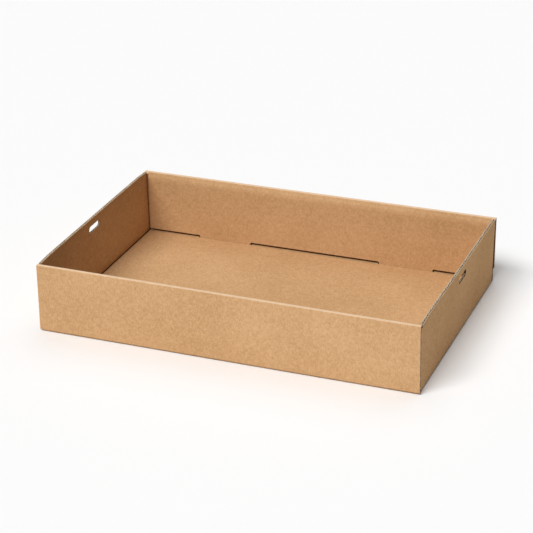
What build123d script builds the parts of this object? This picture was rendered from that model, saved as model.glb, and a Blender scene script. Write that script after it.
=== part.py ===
from build123d import *
import os

# A shallow open tray folded from one sheet of corrugated board. The two long walls are rolled
# over: each goes up, over a narrow creased top and down again inside, where two tabs lock it
# into slots in the floor. The two short end walls are single board with a raw top edge and a
# hand slot, and their corner flaps are pressed flat inside the rolled walls.
# X runs along the length, Y across and Z up, from the middle of the underside.

# Outside sizes
tray_length = 450.0
tray_width = 300.0
tray_height = 82.0

# The board
board = 3.0                # thickness of the corrugated board
pressed_board = 1.0        # thickness where a corner flap is pressed flat
creased_board = 1.4        # thickness round the creases of the rolled top
ply_gap = 0.2              # air between two plies that lie together
fold_radius = 2.0          # outside of a fold along the floor or up a corner
top_radius = 1.1           # outside of the two creases of the rolled top
hollow_radius = 0.4        # inside corners of the hollow in the rolled top

# The waves of the board, which show at its raw edges
liner = 0.4                # thickness of the paper on each side
flute_paper = 0.4          # thickness of the waved paper between
flute_pitch = 5.5          # from wave to wave
flute_depth = 3.0          # how deep the gaps between the waves are open
flute_mouth_share = 0.73   # width of a gap at its own liner, as a share of the pitch
flute_tip_share = 0.22     # width of a gap at its far side, as a share of the pitch
raw_edge_margin = 1.0      # plain edge left beyond the last wave

# The rolled long walls
end_overhang = 1.5         # cut ends of the back wall stand out this far past the end walls
front_overhang = 0.7       # and those of the front wall this far
foot_zone = 5.0            # height of the folded foot of every wall
end_relief_height = 16.0   # below this the back wall's cut ends are trimmed to the end walls
end_relief_radius = 1.0
top_width = 4.2            # the rolled top is pinched to this width
hollow_depth = 6.0         # the board starts to thin this far below the top
hollow_taper = 2.8         # height over which it thins
inner_foot_gap = 3.0       # the inner ply stops this far above the floor
inner_end_gap = 1.2        # between the inner ply's ends and the end walls

# The locking tabs and their floor slots
tab_width = 67.5
tab_spacing = 234.5        # between the middles of the two tabs of a wall
tab_root_radius = 1.5
tab_tip_radius = 1.2
tab_tip_gap = 0.5          # between a tab's tip and the underside
floor_slot_gap = 0.25      # round a tab in its floor slot
floor_slot_spare = 1.4     # a floor slot is longer than its tab by this at each end

# The end walls
notch_gap = 2.2            # clear height left for the end wall under the rolled top
notch_side_gap = 1.2       # between an end wall's raised middle and a rolled wall
notch_radius = 0.8
flap_length = 66.0
flap_foot_gap = 3.0        # a corner flap stops this far above the floor
flap_corner_radius = 8.0
corner_hole_radius = 1.7   # round relief where the creases meet at a floor corner
corner_hole_inset = 1.1    # from the end wall's side edge to the middle of that hole

# The hand slots
hand_slot_length = 29.5
hand_slot_height = 8.2
hand_slot_drop = 13.0      # from the top edge down to its middle line
hand_slot_offset = 6.0     # towards the front on the left, towards the back on the right

# What follows from them
overrun = board
half_length = tray_length / 2
half_width = tray_width / 2
end_face = half_length - end_overhang
end_inside = end_face - board
front_half_length = end_face + front_overhang
flap_face = half_width - board - ply_gap
rolled_wall = 2 * board + 2 * ply_gap + pressed_board
inner_face = half_width - rolled_wall
inner_back = inner_face + board
inner_half_length = end_inside - inner_end_gap
hollow_foot = tray_height - hollow_depth
lean_foot = hollow_foot + hollow_taper
lean_face = inner_face + board - creased_board
top_face = half_width - top_width
lean_slope = (top_face - lean_face) / (tray_height - lean_foot)
notch_floor = tray_height - creased_board - notch_gap
middle_top = top_face - notch_side_gap
middle_foot = middle_top - lean_slope * (tray_height - notch_floor)
hand_slot_middle = tray_height - hand_slot_drop


def outline(*corners):
    """A closed face from corners given as across, up and rounding."""
    points = [(across, up) for across, up, rounding in corners]
    roundings = [rounding for across, up, rounding in corners]
    return make_face(FilletPolyline(*points, radius=roundings, close=True))


def along_x(section, half):
    """A section drawn across and up, drawn out along the length to both sides."""
    return extrude(Plane.YZ * section, amount=half, both=True)


def back_ply(panel, face, thickness):
    """A panel drawn along and up, made solid from its inner face towards the back."""
    placed = Plane(origin=(0, face, 0), x_dir=(1, 0, 0), z_dir=(0, -1, 0)) * panel
    return extrude(placed, amount=-thickness)


def flute_gaps(run):
    """Gaps between the waves and the liners over a run of raw edge, drawn along and across."""
    liner_face = board / 2 - liner
    far_face = liner_face - flute_paper
    mouth = flute_mouth_share * flute_pitch / 2
    tip = flute_tip_share * flute_pitch / 2
    half_pitch = flute_pitch / 2
    steps = int((run - 2 * raw_edge_margin - 2 * mouth) / half_pitch)
    gaps = []
    for step in range(steps + 1):
        middle = (step - steps / 2) * half_pitch
        side = 1 if step % 2 else -1
        corners = [
            (middle - mouth, side * liner_face),
            (middle + mouth, side * liner_face),
            (middle + tip, -side * far_face),
            (middle - tip, -side * far_face),
        ]
        gaps.append(make_face(Polyline(*corners, close=True)))
    return Sketch() + gaps


def outer_foot(half):
    """Fold between the floor and the outer ply at the back, to both sides."""
    section = outline(
        (half_width, 0, fold_radius),
        (half_width, foot_zone, 0),
        (half_width - board, foot_zone, 0),
        (half_width - board, board, 0),
        (flap_face, board, 0),
        (flap_face, 0, 0),
    )
    return along_x(section, half)


def relieved_panel():
    """The back wall's outer ply, with the trimmed foot of its cut ends."""
    step_top = end_relief_height + end_overhang
    return outline(
        (end_face, foot_zone, 0),
        (end_face, end_relief_height, end_relief_radius),
        (half_length, step_top, end_relief_radius),
        (half_length, hollow_foot, 0),
        (-half_length, hollow_foot, 0),
        (-half_length, step_top, end_relief_radius),
        (-end_face, end_relief_height, end_relief_radius),
        (-end_face, foot_zone, 0),
    )


def straight_panel():
    """The front wall's outer ply, whose cut ends run straight down."""
    return outline(
        (front_half_length, foot_zone, 0),
        (front_half_length, hollow_foot, 0),
        (-front_half_length, hollow_foot, 0),
        (-front_half_length, foot_zone, 0),
    )


def outer_ply(panel, half, lowest):
    """Outer ply at the back, its waves open at the cut ends from a lowest height up."""
    line = half_width - board / 2
    run = hollow_foot - lowest
    plane = Plane(origin=(half, line, lowest + run / 2), x_dir=(0, 0, 1), z_dir=(1, 0, 0))
    gaps = extrude(plane * flute_gaps(run), amount=-flute_depth)
    return back_ply(panel, half_width - board, board) - gaps - gaps.mirror(Plane.YZ)


def rolled_top(outer_half, inner_half):
    """Two creases and the pinched strip between them, over the hollow they leave."""
    roof = tray_height - creased_board
    strip = outline(
        (half_width, hollow_foot, 0),
        (half_width, tray_height, top_radius),
        (top_face, tray_height, top_radius),
        (lean_face, lean_foot, 0),
        (inner_back, lean_foot, 0),
        (top_face + creased_board, roof, hollow_radius),
        (half_width - creased_board, roof, hollow_radius),
        (half_width - creased_board, lean_foot, 0),
        (half_width - board, hollow_foot, 0),
    )
    inner_root = outline(
        (lean_face, lean_foot, 0),
        (inner_back, lean_foot, 0),
        (inner_back, hollow_foot, 0),
        (inner_face, hollow_foot, 0),
    )
    return along_x(strip, outer_half) + along_x(inner_root, inner_half)


def inner_ply():
    """Inner ply of the back wall, with its two tabs down into the floor."""
    foot = board + inner_foot_gap
    corners = [
        (inner_half_length, foot, 0),
        (inner_half_length, hollow_foot, 0),
        (-inner_half_length, hollow_foot, 0),
        (-inner_half_length, foot, 0),
    ]
    for middle in (-tab_spacing / 2, tab_spacing / 2):
        left = middle - tab_width / 2
        right = middle + tab_width / 2
        corners += [
            (left, foot, tab_root_radius),
            (left, tab_tip_gap, tab_tip_radius),
            (right, tab_tip_gap, tab_tip_radius),
            (right, foot, tab_root_radius),
        ]
    return back_ply(outline(*corners), inner_face, board)


def back_wall():
    """The whole rolled wall at the back."""
    outer = outer_ply(relieved_panel(), half_length, end_relief_height + end_overhang)
    return outer_foot(end_face) + outer + rolled_top(half_length, inner_half_length) + inner_ply()


def front_wall():
    """The whole rolled wall at the front."""
    outer = outer_ply(straight_panel(), front_half_length, foot_zone)
    top = rolled_top(front_half_length, inner_half_length)
    wall = outer_foot(front_half_length) + outer + top + inner_ply()
    return wall.mirror(Plane.XZ)


def floor():
    """Floor with the folded feet of both end walls and the slots for the tabs."""
    section = outline(
        (end_face, 0, fold_radius),
        (end_face, foot_zone, 0),
        (end_inside, foot_zone, 0),
        (end_inside, board, 0),
        (-end_inside, board, 0),
        (-end_inside, foot_zone, 0),
        (-end_face, foot_zone, 0),
        (-end_face, 0, fold_radius),
    )
    plate = extrude(Plane.XZ * section, amount=flap_face, both=True)
    slot_length = tab_width + 2 * floor_slot_spare
    slot_width = board + 2 * floor_slot_gap
    slot_line = inner_face + board / 2
    slot = Box(slot_length, slot_width, board + 2 * overrun)
    for middle in (-tab_spacing / 2, tab_spacing / 2):
        for line in (-slot_line, slot_line):
            plate -= Pos(middle, line, board / 2) * slot
    return plate


def corner_flap():
    """Flap of the right end wall, pressed flat inside the back wall."""
    foot = board + flap_foot_gap
    panel = outline(
        (end_inside, foot, 0),
        (end_inside, notch_floor, 0),
        (end_face - flap_length, notch_floor, flap_corner_radius),
        (end_face - flap_length, foot, flap_corner_radius),
    )
    return back_ply(panel, flap_face - pressed_board, pressed_board)


def end_wall():
    """The right end wall with its raised middle, hand slot and corner flaps."""
    panel = outline(
        (flap_face, foot_zone, 0),
        (flap_face, notch_floor, 0),
        (middle_foot, notch_floor, notch_radius),
        (middle_top, tray_height, notch_radius),
        (-middle_top, tray_height, notch_radius),
        (-middle_foot, notch_floor, notch_radius),
        (-flap_face, notch_floor, 0),
        (-flap_face, foot_zone, 0),
    )
    wall = extrude(Plane.YZ.offset(end_inside) * panel, amount=board)
    edges = wall.edges().filter_by(Axis.Z).group_by(Axis.X)[-1]
    wall = fillet([edge for edge in edges if abs(edge.center().Y) > middle_top], fold_radius)
    rim = Plane(origin=(end_inside + board / 2, 0, tray_height), x_dir=(0, 1, 0), z_dir=(0, 0, 1))
    gaps = flute_gaps(2 * middle_top - 2 * notch_radius)
    wall -= extrude(rim * gaps, amount=-flute_depth)
    hand_slot = SlotOverall(hand_slot_length, hand_slot_height)
    place = Plane.YZ.offset(end_inside - overrun) * Pos(hand_slot_offset, hand_slot_middle)
    wall -= extrude(place * hand_slot, amount=board + 2 * overrun)
    flap = corner_flap()
    return wall + flap + flap.mirror(Plane.XZ)


def corner_hole():
    """Round relief through the foot of the right end wall, at the back."""
    reach = board + corner_hole_radius
    line = flap_face - corner_hole_inset
    hole = Cylinder(corner_hole_radius, reach + overrun, align=(Align.CENTER, Align.CENTER, Align.MIN))
    return Pos(end_face - reach, line, board) * Rot(0, 90, 0) * hole


def tray():
    """The folded sheet, one solid."""
    end = end_wall()
    body = floor() + back_wall() + front_wall() + end + Rot(0, 0, 180) * end
    for turn in (0, 180):
        hole = Rot(0, 0, turn) * corner_hole()
        body -= hole
        body -= hole.mirror(Plane.XZ)
    return body


os.makedirs("parts", exist_ok=True)
export_step(tray(), "parts/tray.step")
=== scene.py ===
import math

import bpy
import numpy as np
from mathutils import Matrix, Vector, geometry, kdtree, noise


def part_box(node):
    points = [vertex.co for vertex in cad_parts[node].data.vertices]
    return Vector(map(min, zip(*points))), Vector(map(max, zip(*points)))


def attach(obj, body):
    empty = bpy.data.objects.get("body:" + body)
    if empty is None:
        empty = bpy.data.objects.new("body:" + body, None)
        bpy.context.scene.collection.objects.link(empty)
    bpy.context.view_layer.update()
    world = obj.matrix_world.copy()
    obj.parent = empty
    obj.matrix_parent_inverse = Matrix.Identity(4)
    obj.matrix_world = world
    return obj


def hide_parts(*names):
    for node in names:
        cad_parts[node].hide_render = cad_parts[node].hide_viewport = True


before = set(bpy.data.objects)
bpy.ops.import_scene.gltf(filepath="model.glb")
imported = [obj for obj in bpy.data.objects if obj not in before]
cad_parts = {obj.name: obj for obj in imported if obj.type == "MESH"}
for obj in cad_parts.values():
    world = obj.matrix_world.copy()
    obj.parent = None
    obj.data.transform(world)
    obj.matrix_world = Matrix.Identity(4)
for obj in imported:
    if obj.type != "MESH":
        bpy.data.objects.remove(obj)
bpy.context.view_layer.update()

# The tray is made here as a box maker makes it: one blank of corrugated board, cut flat and
# then folded. u runs along the blank and v across it, on the liner that ends up outside, and
# depth is how far a place lies under that liner.

# Outside sizes, from the frame
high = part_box("tray")[1]
HALF_LENGTH = high.x
HALF_WIDTH = high.y
HEIGHT = high.z

# The board
BOARD = 0.003
FOLDED = 0.0016
CREASED = 0.0014
PRESSED = 0.001
LINER = 0.0006
LINER_SHARE = 0.4
FLUTE_PITCH = 0.0055
FLUTE_PAPER = 0.0008
PLY_GAP = 0.0002

# The folds
FOLD_RADIUS = 0.002
TOP_RADIUS = 0.0011
TOP_WIDTH = 0.0042
CREASE_HALF = 0.0016
CREASE_REACH = 0.0048
# How far the painted crease shade reaches past the crease
CREASE_SHADE_REACH = 0.0014
HOLLOW_DEPTH = 0.006
HOLLOW_TAPER = 0.0028

# The cut outline
OVERHANG = 0.0015
FRONT_OVERHANG = 0.0007
RELIEF_HEIGHT = 0.016
RELIEF_ROUND = 0.001
FOOT_GAP = 0.003
INNER_END_GAP = 0.0012
TAB_WIDTH = 0.0675
TAB_SPACING = 0.2345
TAB_ROOT = 0.0015
TAB_TIP = 0.0012
TAB_TIP_GAP = 0.0005
SLOT_GAP = 0.00025
SLOT_SPARE = 0.0014
SLOT_ROUND = 0.0006
NOTCH_GAP = 0.0022
NOTCH_SIDE = 0.0012
NOTCH_ROUND = 0.0008
FLAP_LENGTH = 0.066
FLAP_FOOT_GAP = 0.003
FLAP_ROUND = 0.008
CORNER_HOLE = 0.0017
CORNER_INSET = 0.0011
HAND_LENGTH = 0.0295
HAND_HEIGHT = 0.0082
HAND_DROP = 0.013
HAND_OFFSET = 0.006

# Handling
FRONT_SAG = (0.013, 0.021)
BACK_SAG = (0.012, 0)
SAG_REACH = 0.03
BROAD_SWAY = (0.0020, 0.0034, 0.0042)
BROAD_SIZE = (0.16, 0.19, 0.15)
FINE_SWAY = (0.0004, 0.0007, 0.0016)
FINE_SIZE = (0.03, 0.035, 0.028)
END_LEAN = 0.0013
END_BOW = 0.0004
FRONT_SLIP = 0.0007

# The mesh
GRID = 0.006
EDGE_STEP = 0.0015
ROUND_STEP = 0.0007
ARC_STEPS = 8
HOLE_POINTS = 15
CLOSEST = 0.0003
EDGE_CLEARANCE = 0.7
ROW_SLACK = 0.006
SAME_POINT = 1e-7

# Raw edges
GROOVE_ACROSS = 0.0055
GROOVE_ALONG = 0.0006
RAGGED = 0.0001
RAGGED_SIZE = 0.0021
LIP_SEEDS = (0, 40)
FLUTE_ARCH = 0.6
FLUTE_STEPS = 12
FLUTE_RECESS = 0.00006
FLUTE_BITE = 0.00004
SURFACE, RAW_EDGE, FLUTING = range(3)
INSIDE_SHIFT = 1
SHARP = math.radians(32)

# Papers: linear colours, and the sizes and weights of what makes them uneven
KRAFT_DARK = (0.483, 0.276, 0.124)
KRAFT_PALE = (0.666, 0.412, 0.219)
DARK_FLECK = (0.30, 0.155, 0.068)
PALE_FLECK = (0.72, 0.50, 0.31)
WORN_KRAFT = (0.78, 0.57, 0.385)
# Painted shade: near-black colour for the inside of the end walls' foot creases
CREASE_SHADE_KRAFT = (0.09, 0.04, 0.015)
# Painted shade: dark colour for cut edges that lie below the end walls' rims
EDGE_SHADE_DARK = (0.30, 0.18, 0.09)
EDGE_PALE = (0.92, 0.76, 0.56)
# Mostly painted shade: near-black colour for the fluting below its cut edge
FLUTE_SHADE_DARK = (0.06, 0.03, 0.015)
FLUTE_PALE = (0.95, 0.80, 0.60)
KRAFT_ROUGHNESS = 0.9
CUT_ROUGHNESS = 0.95
PATCH_SIZE, PATCH_WEIGHT = 0.11, 0.7
CLOUD_SIZE, CLOUD_WEIGHT = 0.0075, 0.5
MOTTLE_SIZE, MOTTLE_WEIGHT = 0.0026, 0.75
FIBRE_SIZE, FIBRE_WEIGHT = 0.0009, 1.2
STRAND_SIZE, STRAND_WEIGHT = 0.0013, 0.6
DARK_FLECK_SIZE = 0.0014
PALE_FLECK_SIZE = 0.0016
FLECK_STRENGTH = 0.5
KRAFT_RELIEF = 0.00018
FUZZ_SIZE = 0.0007
EDGE_PATCH_SIZE = 0.006
EDGE_RELIEF = 0.0002
# Below these reaches from the rim, cut edges turn dark as painted shade
EDGE_PALE_REACH = (0.006, 0.003)
FLUTE_FUZZ_SIZE = 0.0008
FLUTE_PATCH_SIZE = 0.007
FLUTE_RELIEF = 0.00012
# Below this depth the fluting turns near black as painted shade
FLUTE_CUT_DEPTH = (0.00035, 0.00005)

# The room; a lamp has its turn, its height and its spread in degrees, and its strength
FLOOR_COLOUR = (0.94, 0.94, 0.94, 1)
FLOOR_HALF = 4
FLOOR_DROP = 0.0012
FILL = 0.14
KEY = (65, 50, 25, 1.72)
SIDE = (35, 50, 20, 1.18)
BACK = (-110, 60, 50, 0.69)
CAMERA_LENS = 128.68
CAMERA_TURN = (-21.4116, 24.8899, -0.7339)
CAMERA_PLACE = (0.71953, -1.85176, 0.97046)

# What follows from them
QUARTER = math.pi / 2
ROLLED = 2 * BOARD + 2 * PLY_GAP + PRESSED
END_FACE = HALF_LENGTH - OVERHANG
FLAP_FACE = HALF_WIDTH - BOARD - PLY_GAP
INNER_FACE = HALF_WIDTH - ROLLED
INNER_HALF = END_FACE - BOARD - INNER_END_GAP
FRONT_HALF = END_FACE + FRONT_OVERHANG
HOLLOW_FOOT = HEIGHT - HOLLOW_DEPTH
LEAN_FOOT = HOLLOW_FOOT + HOLLOW_TAPER
LEAN_FACE = INNER_FACE + BOARD - CREASED
TOP_FACE = HALF_WIDTH - TOP_WIDTH
LEAN_SLOPE = (TOP_FACE - LEAN_FACE) / (HEIGHT - LEAN_FOOT)
NOTCH_FLOOR = HEIGHT - CREASED - NOTCH_GAP
MIDDLE_TOP = TOP_FACE - NOTCH_SIDE
MIDDLE_FOOT = MIDDLE_TOP - LEAN_SLOPE * (HEIGHT - NOTCH_FLOOR)
FLAP_FOOT = BOARD + FLAP_FOOT_GAP

# Marks across the blank, over a rolled wall
V_FOLD = HALF_WIDTH - FOLD_RADIUS
V_RISE = V_FOLD + QUARTER * FOLD_RADIUS
V_TOP = V_RISE + HEIGHT - FOLD_RADIUS - TOP_RADIUS
V_STRIP = V_TOP + QUARTER * TOP_RADIUS
V_TURN = V_STRIP + TOP_WIDTH - 2 * TOP_RADIUS
V_DOWN = V_TURN + QUARTER * TOP_RADIUS
V_CREASE = (V_FOLD + V_RISE) / 2

# Marks along the blank, up an end wall
U_FOLD = END_FACE - FOLD_RADIUS
U_RISE = U_FOLD + QUARTER * FOLD_RADIUS
U_CREASE = (U_FOLD + U_RISE) / 2

# Marks across the blank, round a corner into its flap
V_CORNER = FLAP_FACE - FOLD_RADIUS
V_FLAP = V_CORNER + QUARTER * FOLD_RADIUS
V_FLAP_END = V_FLAP + FLAP_LENGTH - FOLD_RADIUS
V_SLIT = FLAP_FACE + PLY_GAP / 4
U_SLIT = HALF_LENGTH + PLY_GAP


def rise_v(z):
    """Place across the blank of a height on the outer ply."""
    return V_RISE + z - FOLD_RADIUS


def drop_v(z):
    """Place across the blank of a height on the inner ply."""
    return V_DOWN + HEIGHT - TOP_RADIUS - z


def rise_u(z):
    """Place along the blank of a height on an end wall."""
    return U_RISE + z - FOLD_RADIUS


V_FOOT = drop_v(BOARD + FOOT_GAP)
V_TIP = drop_v(TAB_TIP_GAP)
LEAN_MARKS = (V_TURN, V_DOWN, drop_v(LEAN_FOOT), drop_v(HOLLOW_FOOT))
LEANS = (0, LEAN_SLOPE * TOP_RADIUS, TOP_FACE - LEAN_FACE, TOP_FACE - INNER_FACE)
U_RIM = rise_u(HEIGHT)
U_NOTCH = rise_u(NOTCH_FLOOR)
U_HAND = rise_u(HEIGHT - HAND_DROP)


def eased(x, start, end):
    """0 before start, 1 after end and smooth between; either may be the larger."""
    share = np.clip((x - start) / (end - start), 0, 1)
    return share * share * (3 - 2 * share)


# Folding

def bent(s, stretches):
    """Points and outward directions along straight stretches, a quarter turn after each."""
    points = np.zeros((len(s), 2))
    outward = np.zeros((len(s), 2))
    x, y, heading, start, reached = 0.0, 0.0, 0.0, -math.inf, 0.0
    for length, radius in stretches:
        along = np.array((math.cos(heading), math.sin(heading)))
        side = np.array((math.sin(heading), -math.cos(heading)))
        straight = (s >= start) & (s < reached + length)
        points[straight] = np.array((x, y)) + np.outer(s[straight] - reached, along)
        outward[straight] = side
        if not radius:
            break
        x, y = np.array((x, y)) + along * length
        start = reached + length
        reached = start + QUARTER * radius
        centre = np.array((x, y)) - side * radius
        turning = (s >= start) & (s < reached)
        angle = heading + (s[turning] - start) / radius
        outward[turning] = np.stack((np.sin(angle), -np.cos(angle)), 1)
        points[turning] = centre + radius * outward[turning]
        heading += QUARTER
        x, y = centre + radius * np.array((math.sin(heading), -math.cos(heading)))
        start = reached
    return points[:, 0], points[:, 1], outward[:, 0], outward[:, 1]


LONG_WALL = (
    (V_FOLD, FOLD_RADIUS),
    (V_TOP - V_RISE, TOP_RADIUS),
    (V_TURN - V_STRIP, TOP_RADIUS),
    (math.inf, 0),
)
END_WALL = ((U_FOLD, FOLD_RADIUS), (math.inf, 0))
CORNER = ((V_CORNER, FOLD_RADIUS), (math.inf, 0))


def on_end(u, v):
    """Whether a place on the blank belongs to an end wall or to its flaps."""
    return (np.abs(u) > U_FOLD) & ((np.abs(v) <= V_SLIT) | (np.abs(u) > U_SLIT))


def thickness(u, v):
    """Thickness of the board, less where it is creased or pressed."""
    u, v = np.abs(u), np.abs(v)
    along_side = eased(np.abs(v - V_CREASE), CREASE_REACH, CREASE_HALF)
    along_end = eased(np.abs(u - U_CREASE), CREASE_REACH, CREASE_HALF) * (v <= V_SLIT)
    rolled = eased(v, rise_v(HOLLOW_FOOT), rise_v(LEAN_FOOT))
    rolled = rolled * eased(v, drop_v(HOLLOW_FOOT), drop_v(LEAN_FOOT))
    side = BOARD - (BOARD - FOLDED) * along_side - (BOARD - CREASED) * rolled
    foot = BOARD - (BOARD - FOLDED) * along_end
    pressed = eased(v, V_CORNER - FOLD_RADIUS, V_CORNER) * (u > U_RISE)
    end = foot + (PRESSED - foot) * pressed
    return np.where(on_end(u, v), end, np.minimum(side, foot))


def paper(board):
    """Thickness of a liner, squashed where the board is."""
    return np.minimum(LINER, LINER_SHARE * board)


def folded(u, v, depth):
    """Where places on the blank, at depths under its outer liner, end up."""
    side_u = np.where(u < 0, -1.0, 1.0)
    side_v = np.where(v < 0, -1.0, 1.0)
    y, z, out_y, out_z = bent(np.abs(v), LONG_WALL)
    y = y - np.interp(np.abs(v), LEAN_MARKS, LEANS)
    slip = FRONT_SLIP * (v < 0) * np.clip(u / HALF_LENGTH, 0, 1) * z / HEIGHT
    side = np.stack((u - slip, side_v * (y - out_y * depth), z - out_z * depth), 1)
    x, z, out_x, out_z = bent(np.abs(u), END_WALL)
    y, inward, out_y, out_in = bent(np.abs(v), CORNER)
    turned = eased(z, FOLD_RADIUS, FLAP_FOOT)
    x = x - inward * turned
    y = np.abs(v) + (y - np.abs(v)) * turned
    out_x = out_x - (1 + out_in) * turned
    out_y = out_y * turned
    across = np.clip(v / FLAP_FACE, -1, 1)
    x = x + (END_LEAN * (3 + across) / 4 + END_BOW * (1 - across**2)) * z / HEIGHT
    end = (side_u * (x - out_x * depth), side_v * (y - out_y * depth), z - out_z * depth)
    return np.where(on_end(u, v)[:, None], np.stack(end, 1), side)


# Drawing the blank

def rounded(corners):
    """A closed line round corners that are given as u, v and rounding."""
    line = []
    for index, (u, v, rounding) in enumerate(corners):
        here = Vector((u, v))
        if not rounding:
            line.append(here)
            continue
        back = (Vector(corners[index - 1][:2]) - here).normalized()
        ahead = (Vector(corners[(index + 1) % len(corners)][:2]) - here).normalized()
        half = back.angle(ahead) / 2
        centre = here + (back + ahead).normalized() * rounding / math.sin(half)
        start = here + back * rounding / math.tan(half) - centre
        turn = math.copysign(math.pi - 2 * half, back.x * ahead.y - back.y * ahead.x)
        steps = max(3, math.ceil(rounding * abs(turn) / ROUND_STEP))
        for step in range(steps + 1):
            line.append(centre + Matrix.Rotation(-turn * step / steps, 2) @ start)
    return line


def cut_quarter(cut_end):
    """The cut edge from the middle of an end wall to the middle of a rolled wall."""
    tab_near = (TAB_SPACING - TAB_WIDTH) / 2
    tab_far = (TAB_SPACING + TAB_WIDTH) / 2
    quarter = [
        (U_RIM, MIDDLE_TOP, NOTCH_ROUND),
        (U_NOTCH, MIDDLE_FOOT, NOTCH_ROUND),
        (U_NOTCH, V_FLAP_END, FLAP_ROUND),
        (rise_u(FLAP_FOOT), V_FLAP_END, FLAP_ROUND),
        (rise_u(FLAP_FOOT), FLAP_FACE, 0),
    ]
    start = math.asin(CORNER_INSET / CORNER_HOLE)
    for angle in np.linspace(start, -math.pi - start, HOLE_POINTS):
        u = rise_u(BOARD) + CORNER_HOLE * math.cos(angle)
        v = FLAP_FACE - CORNER_INSET + CORNER_HOLE * math.sin(angle)
        quarter.append((u, v, 0))
    return quarter + [
        (U_FOLD, V_SLIT, 0),
        *cut_end,
        (INNER_HALF, drop_v(LEAN_FOOT), 0),
        (INNER_HALF, V_FOOT, 0),
        (tab_far, V_FOOT, TAB_ROOT),
        (tab_far, V_TIP, TAB_TIP),
        (tab_near, V_TIP, TAB_TIP),
        (tab_near, V_FOOT, TAB_ROOT),
    ]


def outline():
    """The cut edge of the blank, whose back wall has its cut ends trimmed at the foot."""
    back = cut_quarter([
        (END_FACE, FLAP_FACE + PLY_GAP / 2, 0),
        (END_FACE, rise_v(RELIEF_HEIGHT), RELIEF_ROUND),
        (HALF_LENGTH, rise_v(RELIEF_HEIGHT + OVERHANG), RELIEF_ROUND),
        (HALF_LENGTH, drop_v(LEAN_FOOT), 0),
    ])
    front = cut_quarter([
        (FRONT_HALF, FLAP_FACE + PLY_GAP / 2, 0),
        (FRONT_HALF, drop_v(LEAN_FOOT), 0),
    ])
    whole = back + [(-u, v, rounding) for u, v, rounding in back[::-1]]
    whole += [(-u, -v, rounding) for u, v, rounding in front]
    whole += [(u, -v, rounding) for u, v, rounding in front[::-1]]
    return rounded(whole)


def window(u, v, half_u, half_v, rounding):
    """A hole with rounded corners, round a middle on the blank."""
    signs = ((1, 1), (-1, 1), (-1, -1), (1, -1))
    return rounded([(u + half_u * a, v + half_v * b, rounding) for a, b in signs])


def windows():
    """The hand slots and the floor slots for the tabs."""
    hand = (HAND_HEIGHT / 2, HAND_LENGTH / 2, HAND_HEIGHT / 2 - ROUND_STEP / 100)
    found = [window(side * U_HAND, side * HAND_OFFSET, *hand) for side in (1, -1)]
    slot = (TAB_WIDTH / 2 + SLOT_SPARE, BOARD / 2 + SLOT_GAP, SLOT_ROUND)
    for u in (-TAB_SPACING / 2, TAB_SPACING / 2):
        for side in (1, -1):
            found.append(window(u, side * (INNER_FACE + BOARD / 2), *slot))
    return found


def spread(*marks):
    """Marks with more between them, no further apart than the grid."""
    filled = []
    for start, end in zip(marks, marks[1:]):
        count = max(1, math.ceil((end - start) / GRID - ROW_SLACK))
        filled += [start + (end - start) * step / count for step in range(count)]
    rows = np.array(filled + [marks[-1]])
    return np.unique(np.concatenate((-rows, rows)).round(9))


def turn_rows(start, end):
    """Rows close enough together to go round a fold."""
    return [start + (end - start) * step / ARC_STEPS for step in range(ARC_STEPS + 1)]


CREASE_STEP = (CREASE_REACH + CREASE_HALF) / 2
WALL_ROWS = spread(
    0.0,
    V_CREASE - CREASE_REACH,
    V_CREASE - CREASE_STEP,
    *turn_rows(V_FOLD, V_RISE),
    V_CREASE + CREASE_STEP,
    V_CREASE + CREASE_REACH,
    rise_v(HOLLOW_FOOT),
    rise_v((HOLLOW_FOOT + LEAN_FOOT) / 2),
    rise_v(LEAN_FOOT),
    *turn_rows(V_TOP, V_STRIP),
    (V_STRIP + V_TURN) / 2,
    *turn_rows(V_TURN, V_DOWN),
    drop_v(LEAN_FOOT) + CLOSEST,
    drop_v((HOLLOW_FOOT + LEAN_FOOT) / 2),
    drop_v(HOLLOW_FOOT),
    V_TIP,
)
FOOT_ROWS = spread(
    0.0,
    U_CREASE - CREASE_REACH,
    U_CREASE - CREASE_STEP,
    *turn_rows(U_FOLD, U_RISE),
    U_CREASE + CREASE_STEP,
    U_CREASE + CREASE_REACH,
    U_RIM,
)
CORNER_ROWS = spread(
    0.0,
    V_CORNER - FOLD_RADIUS,
    V_CORNER - FOLD_RADIUS / 2,
    *turn_rows(V_CORNER, V_FLAP),
    V_FLAP_END,
)


def divided(line):
    """A closed line with points wherever it crosses a row, and at least every edge step."""
    points = []
    for start, end in zip(line, line[1:] + line[:1]):
        step = end - start
        middle = (start + end) / 2
        rows = CORNER_ROWS if on_end(*middle) else WALL_ROWS
        marks = [0.0, 1.0]
        wanted = [(row - start.x) / step.x for row in FOOT_ROWS] if abs(step.x) > CLOSEST else []
        wanted += [(row - start.y) / step.y for row in rows] if abs(step.y) > CLOSEST else []
        count = max(1, round(step.length / EDGE_STEP))
        wanted += [index / count for index in range(1, count)]
        for share in wanted:
            if 0 < share < 1 and min(abs(share - mark) for mark in marks) * step.length > CLOSEST:
                marks.append(share)
        points += [start + step * share for share in sorted(marks)[:-1]]
    return points


def grid_points(edge):
    """Places inside the blank, on its rows, clear of the cut edge."""
    floor_u = FOOT_ROWS[np.abs(FOOT_ROWS) <= U_FOLD]
    floor_v = WALL_ROWS[np.abs(WALL_ROWS) <= V_FOLD]
    wall_v = WALL_ROWS[np.abs(WALL_ROWS) > V_FOLD]
    end_u = FOOT_ROWS[np.abs(FOOT_ROWS) > U_FOLD]
    areas = ((floor_u, floor_v), (spread(0.0, HALF_LENGTH), wall_v), (end_u, CORNER_ROWS))
    near = kdtree.KDTree(len(edge))
    for index, point in enumerate(edge):
        near.insert(point.to_3d(), index)
    near.balance()
    clear = EDGE_STEP * EDGE_CLEARANCE
    kept = []
    for area_u, area_v in areas:
        for v in area_v:
            kept += [Vector((u, v)) for u in area_u if near.find((u, v, 0))[2] > clear]
    return kept


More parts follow.
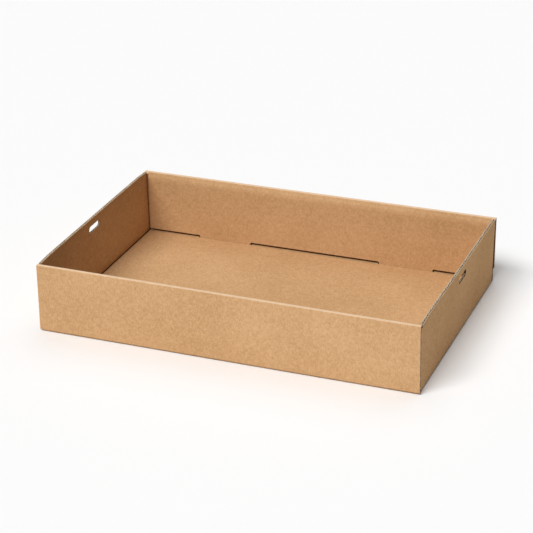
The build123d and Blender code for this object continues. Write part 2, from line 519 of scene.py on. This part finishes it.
def triangulated(cut, holes, inside):
    """The blank as points and triangles, without its holes."""
    points = []
    loops = []
    for loop in [cut] + holes:
        loops.append(list(range(len(points), len(points) + len(loop))))
        points += loop
    result = geometry.delaunay_2d_cdt(points + inside, [], loops, 1, SAME_POINT, True)
    places, faces, sources, owners = result[0], result[2], result[3], result[5]
    exact = points + inside
    places = np.array([exact[s[0]] if s else p for p, s in zip(places, sources)], float)
    kept = [face for face, owner in zip(faces, owners) if owner == [0]]
    used, triangles = np.unique(np.array(kept), return_inverse=True)
    return places[used], triangles.reshape(-1, 3)


# Making the sheet

def field(points, size, seed):
    """Smooth chance values through space, from 0 to 1."""
    shift = Vector((seed, seed / 2, 0))
    values = [noise.noise(Vector(point) / size + shift) for point in points]
    return np.clip(0.5 + 0.5 * np.array(values), 0, 1)


def warped(points):
    """Handled board is never quite straight: it is drawn in unevenly, and its rims sag."""
    sway = np.ones_like(points)
    for axis in range(3):
        broad = field(points, BROAD_SIZE[axis], 3 + 2 * axis)
        fine = field(points, FINE_SIZE[axis], 9 + 2 * axis)
        sway[:, axis] -= BROAD_SWAY[axis] * broad + FINE_SWAY[axis] * fine
    right = 0.5 + 0.5 * points[:, 0] / HALF_LENGTH
    near = eased(np.abs(points[:, 1]), HALF_WIDTH - SAG_REACH, HALF_WIDTH - ROLLED)
    left_sag, right_sag = np.where(points[:, 1] < 0, *np.array((FRONT_SAG, BACK_SAG))[:, :, None])
    sway[:, 2] -= (left_sag + (right_sag - left_sag) * right) * near
    return points * sway


def edge_loops(triangles, count):
    """The cut edge as pairs of points, the board on the left of each pair."""
    sides = np.concatenate((triangles[:, :2], triangles[:, 1:], triangles[:, [2, 0]]))
    forth = sides[:, 0] * count + sides[:, 1]
    back = sides[:, 1] * count + sides[:, 0]
    return sides[~np.isin(forth, back)]


def liners():
    """The folded sheet: two liners and the raw edges between them, closed all round."""
    cut = divided(outline())
    holes = [divided(hole) for hole in windows()]
    edge = cut + [point for hole in holes for point in hole]
    places, triangles = triangulated(cut, holes, grid_points(edge))
    count = len(places)
    pairs = edge_loops(triangles, count)
    rim, starts = np.unique(pairs[:, 0], return_index=True)
    number = np.full(count, -1)
    number[rim] = np.arange(len(rim))
    step = places[pairs[:, 1]] - places[pairs[:, 0]]
    step /= np.linalg.norm(step, axis=1)[:, None]
    normal = np.zeros((count, 2))
    for end in (0, 1):
        np.add.at(normal, pairs[:, end], np.stack((step[:, 1], -step[:, 0]), 1))
    normal = normal[rim]
    normal /= np.linalg.norm(normal, axis=1)[:, None]

    board = thickness(*places.T)
    lips = []
    for seed in LIP_SEEDS:
        flat = np.column_stack((places[rim], np.full(len(rim), seed)))
        ragged = (field(flat, RAGGED_SIZE, seed) - 0.5) * 2 * RAGGED
        lip = places.copy()
        lip[rim] -= normal * (RAGGED - ragged)[:, None] * (board[rim] / BOARD)[:, None]
        lips.append(lip)
    liner = paper(board[rim])
    open_share = (board[rim] - 2 * liner) / (BOARD - 2 * LINER)
    across = normal[:, 0] ** 2
    reach = GROOVE_ALONG + (GROOVE_ACROSS * open_share - GROOVE_ALONG) * across
    pushed = places[rim] - normal * reach[:, None]
    shallow = np.minimum(board[rim], thickness(*pushed.T)) - liner
    rows = [
        folded(*lips[0].T, np.zeros(count)),
        folded(*lips[1].T, board),
        folded(*lips[0][rim].T, liner),
        folded(*pushed.T, liner),
        folded(*pushed.T, shallow),
        folded(*lips[1][rim].T, board[rim] - liner),
    ]
    start, end = number[pairs[:, 0]], number[pairs[:, 1]]
    firsts = 2 * count + np.arange(4) * len(rim)
    ladder = [(pairs[:, 0], pairs[:, 1])]
    ladder += [(first + start, first + end) for first in firsts]
    ladder.append((count + pairs[:, 0], count + pairs[:, 1]))
    faces = triangles[:, ::-1].tolist() + (triangles + count).tolist()
    finishes = [SURFACE] * len(faces)
    for index, (below, above) in enumerate(zip(ladder, ladder[1:])):
        faces += np.stack((below[0], below[1], above[1], above[0]), 1).tolist()
        finishes += [RAW_EDGE if index in (0, 4) else FLUTING] * len(pairs)

    v = np.abs(places[:, 1])
    roll = eased(v, V_TOP, V_STRIP) * eased(v, V_DOWN, V_TURN)
    worn = np.concatenate((roll, np.zeros(count + 4 * len(rim))))
    flat = np.concatenate((places, places + (0, INSIDE_SHIFT), *[places[rim]] * 4))
    return np.concatenate(rows), faces, finishes, flat, worn


def hand_rim(v):
    """Half the height of a hand slot, at a distance along it from its middle."""
    over = np.maximum(np.abs(v) - (HAND_LENGTH - HAND_HEIGHT) / 2, 0)
    return np.sqrt(np.maximum((HAND_HEIGHT / 2) ** 2 - over**2, 0))


def back_end(v):
    """How far out the cut end of the back wall reaches."""
    return END_FACE + OVERHANG * eased(v, rise_v(RELIEF_HEIGHT), rise_v(RELIEF_HEIGHT + OVERHANG))


def flutes():
    """The waves of fluting paper that show between the liners along the raw edges."""
    middle = MIDDLE_TOP - NOTCH_ROUND
    hand = HAND_LENGTH / 2 - ROUND_STEP
    foot, top = V_SLIT + CLOSEST, drop_v(LEAN_FOOT)
    runs = []
    for side in (1, -1):
        shift = side * HAND_OFFSET
        runs.append((side, 1, -middle, middle, lambda v: U_RIM, -1))
        runs.append((side, 1, foot, top, back_end, -1))
        runs.append((side, -1, foot, top, lambda v: FRONT_HALF, -1))
        for up in (1, -1):
            rim = lambda v, up=up, shift=shift: U_HAND + up * hand_rim(v - shift)
            runs.append((side, 1, shift - hand, shift + hand, rim, up))
    strips = {}
    points, faces, flat = [], [], []
    count = 0
    for side_u, side_v, start, end, edge, inward in runs:
        length = round(end - start, 6)
        if length not in strips:
            strips[length] = flute_strip(length)
        places, polygons = strips[length]
        v = start + places[:, 0]
        u = edge(v) + inward * (places[:, 2] + FLUTE_RECESS)
        board = thickness(u, v)
        squeezed = (board - 2 * paper(board)) / (BOARD - 2 * LINER)
        depth = board / 2 + places[:, 1] * squeezed
        points.append(folded(side_u * u, side_v * v, depth))
        order = slice(None, None, side_u * side_v * -inward)
        faces += [[count + corner for corner in polygon[order]] for polygon in polygons]
        flat.append(np.stack((places[:, 2], v), 1))
        count += len(places)
    return np.concatenate(points), faces, [FLUTING] * len(faces), np.concatenate(flat), np.zeros(count)


def flute_strip(length):
    """One strip of fluting paper as points and faces, from its node tree."""
    carrier = bpy.data.objects.new("flute_strip", bpy.data.meshes.new("flute_strip"))
    bpy.context.scene.collection.objects.link(carrier)
    wave = BOARD - 2 * LINER - FLUTE_PAPER + FLUTE_BITE
    sizes = {
        "Length": length,
        "Pitch": FLUTE_PITCH,
        "Height": wave,
        "Paper": FLUTE_PAPER,
        "Depth": GROOVE_ACROSS,
    }
    modifier = carrier.modifiers.new("flutes", "NODES")
    modifier.node_group = flute_tree()
    for item in modifier.node_group.interface.items_tree:
        if item.in_out == "INPUT":
            modifier[item.identifier] = sizes[item.name]
    evaluated = carrier.evaluated_get(bpy.context.evaluated_depsgraph_get())
    mesh = bpy.data.meshes.new_from_object(evaluated)
    carrier.modifiers.clear()
    bpy.data.objects.remove(carrier)
    points = np.array([vertex.co for vertex in mesh.vertices], float)
    return points, [list(polygon.vertices) for polygon in mesh.polygons]


def flute_tree():
    """Node tree of a strip that runs along x, waves in y and reaches up z."""
    tree = bpy.data.node_groups.get("flute_tree")
    if tree:
        return tree
    tree = bpy.data.node_groups.new("flute_tree", "GeometryNodeTree")
    for name in ("Length", "Pitch", "Height", "Paper", "Depth"):
        tree.interface.new_socket(name, in_out="INPUT", socket_type="NodeSocketFloat")
    tree.interface.new_socket("Geometry", in_out="OUTPUT", socket_type="NodeSocketGeometry")
    given = tree.nodes.new("NodeGroupInput").outputs
    length, pitch, height, paper, depth = [Term(tree, given[index]) for index in range(5)]

    def joined(**parts):
        return node(tree, "ShaderNodeCombineXYZ", 0, {}, parts)

    line = node(tree, "GeometryNodeCurvePrimitiveLine", 0, {}, {"End": joined(X=length)})
    steps = {"Curve": line, "Count": length / pitch * FLUTE_STEPS}
    line = node(tree, "GeometryNodeResampleCurve", 0, {}, steps)
    place = node(tree, "GeometryNodeInputPosition", 0, {}, {})
    x = node(tree, "ShaderNodeSeparateXYZ", 0, {}, {0: place})
    arch = (x * math.pi / pitch).sine().maths("ABSOLUTE") ** FLUTE_ARCH
    wave = (arch - 0.5) * height
    moved = {"Geometry": line, "Offset": joined(Y=wave)}
    line = node(tree, "GeometryNodeSetPosition", 0, {}, moved)
    line = node(tree, "GeometryNodeSetCurveNormal", 0, {"mode": "Z_UP"}, {"Curve": line})
    sizes = {"Width": paper, "Height": depth}
    section = node(tree, "GeometryNodeCurvePrimitiveQuadrilateral", 0, {}, sizes)
    swept = {"Curve": line, "Profile Curve": section, "Fill Caps": True}
    strip = node(tree, "GeometryNodeCurveToMesh", 0, {}, swept)
    lifted = {"Geometry": strip, "Offset": joined(Z=depth / 2)}
    strip = node(tree, "GeometryNodeSetPosition", 0, {}, lifted)
    strip = node(tree, "GeometryNodeRealizeInstances", 0, {}, {"Geometry": strip})
    dressed = {"Geometry": strip, "Material": fluting_paper()}
    strip = node(tree, "GeometryNodeSetMaterial", 0, {}, dressed)
    feed(tree, tree.nodes.new("NodeGroupOutput").inputs[0], strip)
    return tree


def tray_mesh():
    """The whole sheet as one mesh, with its places on the blank and its worn folds."""
    parts = [liners(), flutes()]
    points, faces, finishes, flat, worn = (list(part) for part in zip(*parts))
    first = len(points[0])
    mesh = bpy.data.meshes.new("folded_tray")
    whole = faces[0] + [[first + corner for corner in face] for face in faces[1]]
    mesh.from_pydata(warped(np.concatenate(points)), [], whole)
    mesh.polygons.foreach_set("material_index", finishes[0] + finishes[1])
    loops = np.empty(len(mesh.loops), np.int32)
    mesh.loops.foreach_get("vertex_index", loops)
    drawn = mesh.uv_layers.new(name="blank")
    drawn.uv.foreach_set("vector", np.concatenate(flat)[loops].ravel())
    carried = mesh.attributes.new("worn", "FLOAT", "POINT")
    carried.data.foreach_set("value", np.concatenate(worn))
    mesh.shade_smooth()
    mesh.set_sharp_from_angle(angle=SHARP)
    return mesh


# Node trees

def feed(tree, socket, value):
    """Gives a socket a value, or a link from another socket."""
    if isinstance(value, Term):
        tree.links.new(value.socket, socket)
    else:
        socket.default_value = value


def node(tree, kind, output, settings, inputs):
    """A new node with its settings and inputs, as the term that one of its outputs gives."""
    made = tree.nodes.new(kind)
    for name, value in settings.items():
        setattr(made, name, value)
    for key, value in inputs.items():
        feed(tree, made.inputs[key], value)
    return Term(tree, made.outputs[output])


class Term:
    """A socket of a node tree that takes part in sums as a number does."""

    def __init__(self, tree, socket):
        self.tree = tree
        self.socket = socket

    def maths(self, operation, *terms):
        inputs = dict(enumerate(terms or (self,)))
        return node(self.tree, "ShaderNodeMath", 0, {"operation": operation}, inputs)

    def __add__(self, other):
        return self.maths("ADD", self, other)

    def __radd__(self, other):
        return self.maths("ADD", other, self)

    def __sub__(self, other):
        return self.maths("SUBTRACT", self, other)

    def __mul__(self, other):
        return self.maths("MULTIPLY", self, other)

    def __truediv__(self, other):
        return self.maths("DIVIDE", self, other)

    def __pow__(self, other):
        return self.maths("POWER", self, other)

    def sine(self):
        return self.maths("SINE", self)

    def over(self, start, end):
        """0 where the term is below start, 1 above end and smooth between."""
        settings = {"interpolation_type": "SMOOTHSTEP"}
        return node(self.tree, "ShaderNodeMapRange", 0, settings, {0: self, 1: start, 2: end})

    def stretched(self, scale):
        """A vector with each of its parts multiplied."""
        settings = {"operation": "MULTIPLY"}
        return node(self.tree, "ShaderNodeVectorMath", 0, settings, {0: self, 1: scale})

    def towards(self, other, share):
        """A colour mixed towards another."""
        inputs = {0: share, 6: self, 7: other}
        return node(self.tree, "ShaderNodeMix", 2, {"data_type": "RGBA"}, inputs)


class Finish:
    """A material whose shader maths is written as sums."""

    def __init__(self, name, roughness, specular):
        self.material = bpy.data.materials.new(name)
        self.material.use_nodes = True
        self.tree = self.material.node_tree
        self.surface = self.tree.nodes["Principled BSDF"]
        self.surface.inputs["Roughness"].default_value = roughness
        self.surface.inputs["Specular IOR Level"].default_value = specular

    def node(self, kind, output, settings, inputs):
        return node(self.tree, kind, output, settings, inputs)

    def blank(self):
        """Place on the flat blank, in metres."""
        return self.node("ShaderNodeUVMap", 0, {"uv_map": "blank"}, {})

    def place(self):
        """Place in the object's own space, in metres."""
        return self.node("ShaderNodeTexCoord", "Object", {}, {})

    def split(self, vector, axis):
        return self.node("ShaderNodeSeparateXYZ", axis, {}, {0: vector})

    def reading(self, name):
        """A value that the mesh carries."""
        return self.node("ShaderNodeAttribute", "Fac", {"attribute_name": name}, {})

    def clouds(self, vector, size, detail, roughness=0.55):
        """Smooth chance values with features of a size in metres."""
        inputs = {"Vector": vector, "Scale": 1 / size, "Detail": detail, "Roughness": roughness}
        return self.node("ShaderNodeTexNoise", 0, {}, inputs)

    def colour(self, *parts):
        """A colour from its linear red, green and blue."""
        made = self.tree.nodes.new("ShaderNodeRGB")
        made.outputs[0].default_value = (*parts, 1)
        return Term(self.tree, made.outputs[0])

    def set(self, name, term):
        feed(self.tree, self.surface.inputs[name], term)

    def raised(self, height, distance):
        """Bump from a height of 0 to 1 that stands for a distance in metres."""
        inputs = {"Height": height, "Distance": distance}
        self.set("Normal", self.node("ShaderNodeBump", 0, {}, inputs))


# Finishes

def kraft_liner():
    """Unbleached kraft: cloudy, fibrous, faintly washboarded by the flutes under it, with painted
    shade along the inside of the end walls' foot creases.
    """
    finish = Finish("kraft_liner", KRAFT_ROUGHNESS, 0)
    blank = finish.blank()
    place = finish.place()
    patches = finish.clouds(place, PATCH_SIZE, 2)
    clouds = finish.clouds(blank.stretched((1, 0.7, 1)), CLOUD_SIZE, 3)
    mottle = finish.clouds(blank.stretched((1, 0.55, 1)), MOTTLE_SIZE, 2)
    fibres = finish.clouds(blank.stretched((1, 0.25, 1)), FIBRE_SIZE, 2, 0.7)
    strands = finish.clouds(blank.stretched((0.25, 1, 1)), STRAND_SIZE, 2, 0.6)
    v = finish.split(blank, "Y")
    washboard = (v * (2 * math.pi / FLUTE_PITCH)).sine() * 0.5 + 0.5
    share = 0.5 + (patches - 0.5) * PATCH_WEIGHT + (clouds - 0.5) * CLOUD_WEIGHT
    share = share + (mottle - 0.5) * MOTTLE_WEIGHT + (fibres - 0.5) * FIBRE_WEIGHT
    share = share + (strands - 0.5) * STRAND_WEIGHT
    colour = finish.colour(*KRAFT_DARK).towards(finish.colour(*KRAFT_PALE), share.over(0, 1))

    dark_fleck = finish.clouds(blank, DARK_FLECK_SIZE, 1).over(0.68, 0.78)
    pale_fleck = finish.clouds(blank.stretched((1, 0.3, 1)), PALE_FLECK_SIZE, 1).over(0.67, 0.78)
    colour = colour.towards(finish.colour(*DARK_FLECK), dark_fleck * FLECK_STRENGTH)
    colour = colour.towards(finish.colour(*PALE_FLECK), pale_fleck * FLECK_STRENGTH)

    worn = finish.reading("worn") * (0.5 + clouds * 0.9)
    colour = colour.towards(finish.colour(*WORN_KRAFT), worn)
    # Painted shade: the inner liner turns near black along the end walls' foot creases, where the
    # fold's shadow falls
    off_crease = (finish.split(blank, "X").maths("ABSOLUTE") - U_CREASE).maths("ABSOLUTE")
    inside = v.over(INSIDE_SHIFT * 0.4, INSIDE_SHIFT * 0.6)
    crease_shade = off_crease.over(CREASE_HALF + CREASE_SHADE_REACH, CREASE_HALF) * inside
    finish.set("Base Color", colour.towards(finish.colour(*CREASE_SHADE_KRAFT), crease_shade))

    height = fibres * 0.5 + mottle * 0.25 + clouds * 0.25 + strands * 0.25 + washboard * 0.12
    finish.raised(height, KRAFT_RELIEF)
    return finish.material


def raw_edge():
    """Cut edge of a liner: fuzzy paper, pale along the top of an end wall, and darker lower down,
    where the darkening is painted shade on the lower cut ends.
    """
    finish = Finish("raw_edge", CUT_ROUGHNESS, 0)
    place = finish.place()
    fuzz = finish.clouds(place, FUZZ_SIZE, 3, 0.7)
    patches = finish.clouds(place, EDGE_PATCH_SIZE, 2)
    # Painted shade: cut edges more than a few millimetres under the rim are darkened, standing in for
    # the shade on the lower and vertical cut ends
    unshaded_top = finish.split(place, "Z").over(*(HEIGHT - reach for reach in EDGE_PALE_REACH))
    share = (fuzz * 0.7 + patches * 0.4).over(0.2, 0.9) * unshaded_top
    colour = finish.colour(*EDGE_SHADE_DARK).towards(finish.colour(*EDGE_PALE), share)
    finish.set("Base Color", colour)
    finish.raised(fuzz, EDGE_RELIEF)
    return finish.material


def fluting_paper():
    """Paper of the waves inside the board: pale at its cut edge, and near black below it, which is
    partly darker paper and mostly painted shade.
    """
    made = bpy.data.materials.get("fluting_paper")
    if made:
        return made
    finish = Finish("fluting_paper", CUT_ROUGHNESS, 0)
    place = finish.place()
    fuzz = finish.clouds(place, FLUTE_FUZZ_SIZE, 3, 0.7)
    patches = finish.clouds(place, FLUTE_PATCH_SIZE, 2)
    # Painted shade: the fluting is darkened to near black deeper than a fraction of a millimetre under
    # its cut edge
    cut = finish.split(finish.blank(), "X").over(*FLUTE_CUT_DEPTH)
    share = (fuzz * 0.6 + patches * 0.5).over(0.2, 0.9) * cut
    colour = finish.colour(*FLUTE_SHADE_DARK).towards(finish.colour(*FLUTE_PALE), share)
    finish.set("Base Color", colour)
    finish.raised(fuzz, FLUTE_RELIEF)
    return finish.material


def studio_floor():
    """Plain pale floor."""
    finish = Finish("studio_floor", 0.9, 0.1)
    finish.surface.inputs["Base Color"].default_value = FLOOR_COLOUR
    return finish.material


# The scene

def linked(name, data):
    made = bpy.data.objects.new(name, data)
    bpy.context.scene.collection.objects.link(made)
    return made


def stand():
    """The floor that the tray stands on, which isn't part of it."""
    mesh = bpy.data.meshes.new("studio_floor")
    signs = ((-1, -1), (1, -1), (1, 1), (-1, 1))
    corners = [(a * FLOOR_HALF, b * FLOOR_HALF, -FLOOR_DROP) for a, b in signs]
    mesh.from_pydata(corners, [], [(0, 1, 2, 3)])
    mesh.materials.append(studio_floor())
    floor = linked("studio_floor", mesh)


def lamp(name, turn, height, spread_angle, strength):
    """A soft lamp far away, at a turn from the camera's left towards the camera, in degrees."""
    data = bpy.data.lights.new(name, "SUN")
    data.angle = math.radians(spread_angle)
    data.energy = strength
    made = linked(name, data)
    heading = math.radians(180 - CAMERA_TURN[0] + turn)
    rise = math.radians(height)
    flat = math.cos(rise)
    towards = Vector((math.cos(heading) * flat, math.sin(heading) * flat, math.sin(rise)))
    made.rotation_euler = towards.to_track_quat("Z", "Y").to_euler()


def surroundings():
    """A white room: plain white to the camera, and a soft fill to everything else."""
    world = bpy.data.worlds.new("white_room")
    bpy.context.scene.world = world
    world.use_nodes = True
    tree = world.node_tree
    background = tree.nodes["Background"]
    background.inputs["Color"].default_value = (1, 1, 1, 1)
    seen = node(tree, "ShaderNodeLightPath", "Is Camera Ray", {}, {})
    feed(tree, background.inputs["Strength"], seen * (1 - FILL) + FILL)


def view():
    """The photograph's camera, fitted to the corners of the tray."""
    yaw, pitch, roll = (math.radians(angle) for angle in CAMERA_TURN)
    flat = math.cos(pitch)
    ahead = Vector((math.sin(yaw) * flat, math.cos(yaw) * flat, -math.sin(pitch)))
    right = Vector((math.cos(yaw), -math.sin(yaw), 0))
    up = right.cross(ahead)
    tilted = math.cos(roll) * right + math.sin(roll) * up
    up = math.cos(roll) * up - math.sin(roll) * right
    data = bpy.data.cameras.new("photo_camera")
    data.lens = CAMERA_LENS
    camera = linked("photo_camera", data)
    turned = Matrix((tilted, up, -ahead)).transposed().to_4x4()
    camera.matrix_world = Matrix.Translation(CAMERA_PLACE) @ turned
    bpy.context.scene.camera = camera
    bpy.context.scene.view_settings.view_transform = "Standard"


tray = linked("folded_tray", tray_mesh())
for material in (kraft_liner(), raw_edge(), fluting_paper()):
    tray.data.materials.append(material)
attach(tray, "root")
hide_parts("tray")
stand()
surroundings()
lamp("key_lamp", *KEY)
lamp("side_lamp", *SIDE)
lamp("back_lamp", *BACK)
view()

bpy.context.view_layer.update()
